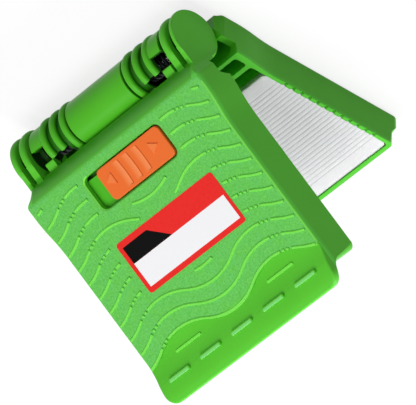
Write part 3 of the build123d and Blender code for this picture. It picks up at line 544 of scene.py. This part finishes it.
def across_pad(low, high):
    """Places across a pad, closer together at both ends, where the edge rolls over."""
    half = (high - low) / 2
    middle = (high + low) / 2
    return [middle - half * math.cos(math.pi * step / COLUMNS) for step in range(COLUMNS + 1)]


def along_pad(low, high):
    """Places along a pad for its rows: fine enough for the channels, and finer round its corners."""
    rounds = [PAD_CORNER * (1 - math.cos(math.pi / 2 * step / CORNER_ROWS)) for step in range(CORNER_ROWS)]
    straight = high - low - 2 * PAD_CORNER
    steps = int(straight / ROW_STEP)
    rows = [low + PAD_CORNER + straight * step / steps for step in range(steps + 1)]
    return [low + step for step in rounds] + rows + [high - step for step in reversed(rounds)]


def channel_depth(y):
    """How far the cloth is pressed down at a place forward of the hinge."""
    nearest = round((CHANNEL_START - y) / CHANNEL_PITCH)
    if not 0 <= nearest < CHANNELS:
        return 0.0
    away = abs(y - (CHANNEL_START - nearest * CHANNEL_PITCH)) / CHANNEL_HALF_WIDTH
    return CHANNEL_DEPTH * max(0.0, 1 - away**2) ** 2


def edge_drop(x, y, low, high, most):
    """How far a soft edge rolls over near the sides of its pad."""
    side = min(x - low[0], high[0] - x, y - low[1], high[1] - y)
    share = min(1.0, max(0.0, side / EDGE_ROLL))
    return most * (1 - math.sqrt(1 - (1 - share) ** 2))


def smooth_piece(name, form):
    """A smooth-shaded piece from its form."""
    mesh = bpy.data.meshes.new(name)
    form.to_mesh(mesh)
    form.free()
    for polygon in mesh.polygons:
        polygon.use_smooth = True
    piece = bpy.data.objects.new(name, mesh)
    bpy.context.scene.collection.objects.link(piece)
    return piece


def soft_pad(name, low, high, shape, placed):
    """A closed soft pad over a plan with round corners. shape gives its top and bottom at a place,
    and placed takes a place in mm to where it lies at rest."""
    form = bmesh.new()
    # The share of painted channel shade at each place, by how deep the channel is pressed there
    pressed = form.verts.layers.float.new("pressed")
    rows = []
    for y in along_pad(low[1], high[1]):
        into = max(0.0, PAD_CORNER - min(y - low[1], high[1] - y))
        inset = PAD_CORNER - math.sqrt(max(0.0, PAD_CORNER**2 - into**2))
        row = []
        for x in across_pad(low[0] + inset, high[0] - inset):
            top, bottom = shape(x, y)
            over = form.verts.new(placed @ Vector((x, y, top)))
            under = form.verts.new(placed @ Vector((x, y, bottom)))
            over[pressed] = under[pressed] = channel_depth(y) / CHANNEL_DEPTH
            row.append((over, under))
        rows.append(row)
    for near, far in zip(rows, rows[1:]):
        for index in range(COLUMNS):
            form.faces.new([near[index][0], near[index + 1][0], far[index + 1][0], far[index][0]])
            form.faces.new([near[index][1], far[index][1], far[index + 1][1], near[index + 1][1]])
        form.faces.new([near[0][0], far[0][0], far[0][1], near[0][1]])
        form.faces.new([near[COLUMNS][0], near[COLUMNS][1], far[COLUMNS][1], far[COLUMNS][0]])
    for row in (rows[0], rows[-1]):
        for near, far in zip(row, row[1:]):
            form.faces.new([near[0], near[1], far[1], far[0]])
    bmesh.ops.recalc_face_normals(form, faces=form.faces)
    return smooth_piece(name, form)


def wiping_cloth(name, node, box, outer, placed, body):
    """One cloth, pressed with channels on its outer face and rolled over at its edges. outer is 1
    where that face looks up and -1 where it looks down."""
    low, high = box
    thickness = high[2] - low[2]
    face = high[2] if outer > 0 else low[2]
    back = low[2] if outer > 0 else high[2]

    def shape(x, y):
        from_side = min(x - low[0], high[0] - x)
        sunk = channel_depth(y) * min(1.0, max(0.0, (from_side - CHANNEL_INSET) / CHANNEL_FADE))
        drop = sunk + edge_drop(x, y, low, high, thickness * CLOTH_ROLL_SHARE)
        ends = (face - outer * drop, back)
        return ends if outer > 0 else ends[::-1]

    piece = soft_pad(name, low, high, shape, placed)
    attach(piece, body)
    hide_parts(node)
    return piece


def foam_pad(name, node, box, placed, body):
    """One foam pad, a little crowned at its sides where the cloth pulls it in."""
    low, high = box
    thickness = high[2] - low[2]

    def shape(x, y):
        drop = edge_drop(x, y, low, high, thickness * FOAM_ROLL_SHARE)
        return high[2] - drop, low[2] + drop

    piece = soft_pad(name, low, high, shape, placed)
    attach(piece, body)
    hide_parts(node)
    return piece


def twisting_spring(name, node):
    """A torsion spring as a smooth-shaded copy of its CAD node, which is hidden. On the hinge its inner
    leg stays with the base while its outer leg turns with the cover; this copy keeps its rest shape."""
    form = bmesh.new()
    form.from_mesh(nodes[node].data)
    piece = smooth_piece(name, form)
    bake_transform(piece)
    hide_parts(node)
    return piece


# The wiping pads of the base and of the slider, and the hinge's two springs
lower_foam = foam_pad("lower_foam", "lower_foam_pad", base_box("lower_foam_pad"), FROM_BASE, "base")
upper_foam = foam_pad("upper_foam", "upper_foam_pad", cover_box("upper_foam_pad"), FROM_COVER, "slider")
lower_cloth = wiping_cloth(
    "lower_cloth",
    "lower_wiping_cloth",
    base_box("lower_wiping_cloth"),
    outer=1,
    placed=FROM_BASE,
    body="base",
)
upper_cloth = wiping_cloth(
    "upper_cloth",
    "upper_wiping_cloth",
    cover_box("upper_wiping_cloth"),
    outer=-1,
    placed=FROM_COVER,
    body="slider",
)
right_spring = twisting_spring("right_spring", "torsion_spring_right")
left_spring = twisting_spring("left_spring", "torsion_spring_left")

# Their finishes
cloth_finish = microfibre()
foam_finish = cell_foam()
spring_finish = steel("black_oxide_spring_steel", "#101112", "#242527", roughness=0.5, grain_mm=0.25)
for piece in (lower_cloth, upper_cloth):
    piece.data.materials.append(cloth_finish)
for piece in (lower_foam, upper_foam):
    piece.data.materials.append(foam_finish)
for piece in (right_spring, left_spring):
    piece.data.materials.append(spring_finish)

# Finishes of the CAD nodes
dress(["cover_shell"], spark_grained_abs())
dress(["base_shell"], barrel_abs())
dress(
    ["slider_carriage"],
    polished_abs("polished_light_green_abs", "#48B420", "#50BC28", roughness=0.3),
)
dress(
    ["lower_pad_tray", "rear_guide_rail", "front_guide_rail", "pad_platen"],
    polished_abs("polished_dark_green_abs", "#2F7D1C", "#388A22", roughness=0.42),
)
dress(["slider_tab"], stepped_abs())
dress(["label"], printed_film())
dress(["hinge_pin"], steel("ground_steel_pin", "#B9BCC0", "#E8E8EA", roughness=0.22, grain_mm=0.3))
dress(["torsion_spring_left", "torsion_spring_right", "detent_leaf"], spring_finish)
dress(
    ["tray_screws", "rail_screws", "tab_screws", "platen_screws", "leaf_rivets"],
    steel("zinc_plated_steel", "#B4B7BD", "#E8E8EA", roughness=0.35, grain_mm=0.4),
)


def seen_directly(tree):
    """1 for rays from the camera and for what metal mirrors, 0 for light that falls on the part."""
    path = add(tree, "ShaderNodeLightPath").outputs
    seen = path["Is Camera Ray"]
    for other in (path["Is Glossy Ray"], path["Is Transmission Ray"]):
        seen = add(tree, "ShaderNodeMath", {0: seen, 1: other}, operation="MAXIMUM").outputs["Value"]
    return seen


def floor():
    """A studio floor of matt paper: near white to the camera, with a soft shadow, and mid grey to the
    part, so that the part's shaded sides stay deep."""
    bpy.ops.mesh.primitive_plane_add(size=8, location=(0, 0, 0))
    ground = bpy.context.object
    ground.name = "studio_floor"
    material, tree, shader = new_material("studio_floor_paper")
    seen = seen_directly(tree)
    tree.links.new(lay(tree, "#9A9A9A", (seen, "#F4F4F4")), shader.inputs["Base Color"])
    shader.inputs["Roughness"].default_value = 1.0
    shader.inputs["Specular IOR Level"].default_value = 0.0
    glow = add(tree, "ShaderNodeEmission", {"Color": (1, 1, 1, 1), "Strength": 1.0})
    glow_share = 0.8
    share = add(tree, "ShaderNodeMath", {0: seen, 1: glow_share}, operation="MULTIPLY")
    mixed = add(
        tree,
        "ShaderNodeMixShader",
        {0: share.outputs["Value"], 1: shader.outputs["BSDF"], 2: glow.outputs["Emission"]},
    )
    output = next(item for item in tree.nodes if item.bl_idname == "ShaderNodeOutputMaterial")
    tree.links.new(mixed.outputs["Shader"], output.inputs["Surface"])
    ground.data.materials.append(material)


def studio_sky(strength):
    """Even pale light from all round; the camera sees it as white."""
    world = bpy.data.worlds.new("studio_sky")
    bpy.context.scene.world = world
    world.use_nodes = True
    tree = world.node_tree
    tree.nodes.clear()
    level = add(tree, "ShaderNodeMapRange", {"Value": seen_directly(tree), "To Min": strength, "To Max": 1.0})
    sky = add(
        tree, "ShaderNodeBackground", {"Color": (1, 1, 1, 1), "Strength": level.outputs["Result"]}
    )
    add(tree, "ShaderNodeOutputWorld", {"Surface": sky.outputs["Background"]})


def softbox(name, toward, distance, size, power):
    """A square lamp that looks at the part from the given direction."""
    lamp = bpy.data.lights.new(name, "AREA")
    lamp.size = size
    lamp.energy = power
    box = bpy.data.objects.new(name, lamp)
    box.location = Vector(toward).normalized() * distance
    box.rotation_euler = Vector(toward).to_track_quat("Z", "Y").to_euler()
    bpy.context.scene.collection.objects.link(box)


def camera():
    """The photograph's view: from behind and above on the right, with the camera held upside down."""
    azimuth = math.radians(126.54)
    elevation = math.radians(40.42)
    roll = math.radians(176.73)
    aim = Vector((2.72, 6.33, 31.40)) * MM
    distance = 1.9728
    away = Vector(
        (
            math.sin(azimuth) * math.cos(elevation),
            -math.cos(azimuth) * math.cos(elevation),
            math.sin(elevation),
        )
    )
    data = bpy.data.cameras.new("photo_camera")
    data.sensor_width = 36.0
    data.lens = 626.1
    data.clip_start = 0.1
    data.clip_end = 20.0
    eye = bpy.data.objects.new("photo_camera", data)
    level = away.to_track_quat("Z", "Y").to_matrix().to_4x4()
    eye.matrix_world = Matrix.Translation(aim + away * distance) @ level @ Matrix.Rotation(-roll, 4, "Z")
    bpy.context.scene.collection.objects.link(eye)
    bpy.context.scene.camera = eye


camera()
floor()
studio_sky(0.32)
softbox("top_softbox", toward=(-0.15, 0.18, 0.97), distance=1.2, size=1.0, power=12.0)
softbox("front_softbox", toward=(0.05, -0.85, 0.5), distance=1.2, size=0.6, power=11.6)
bpy.context.scene.view_settings.view_transform = "Standard"
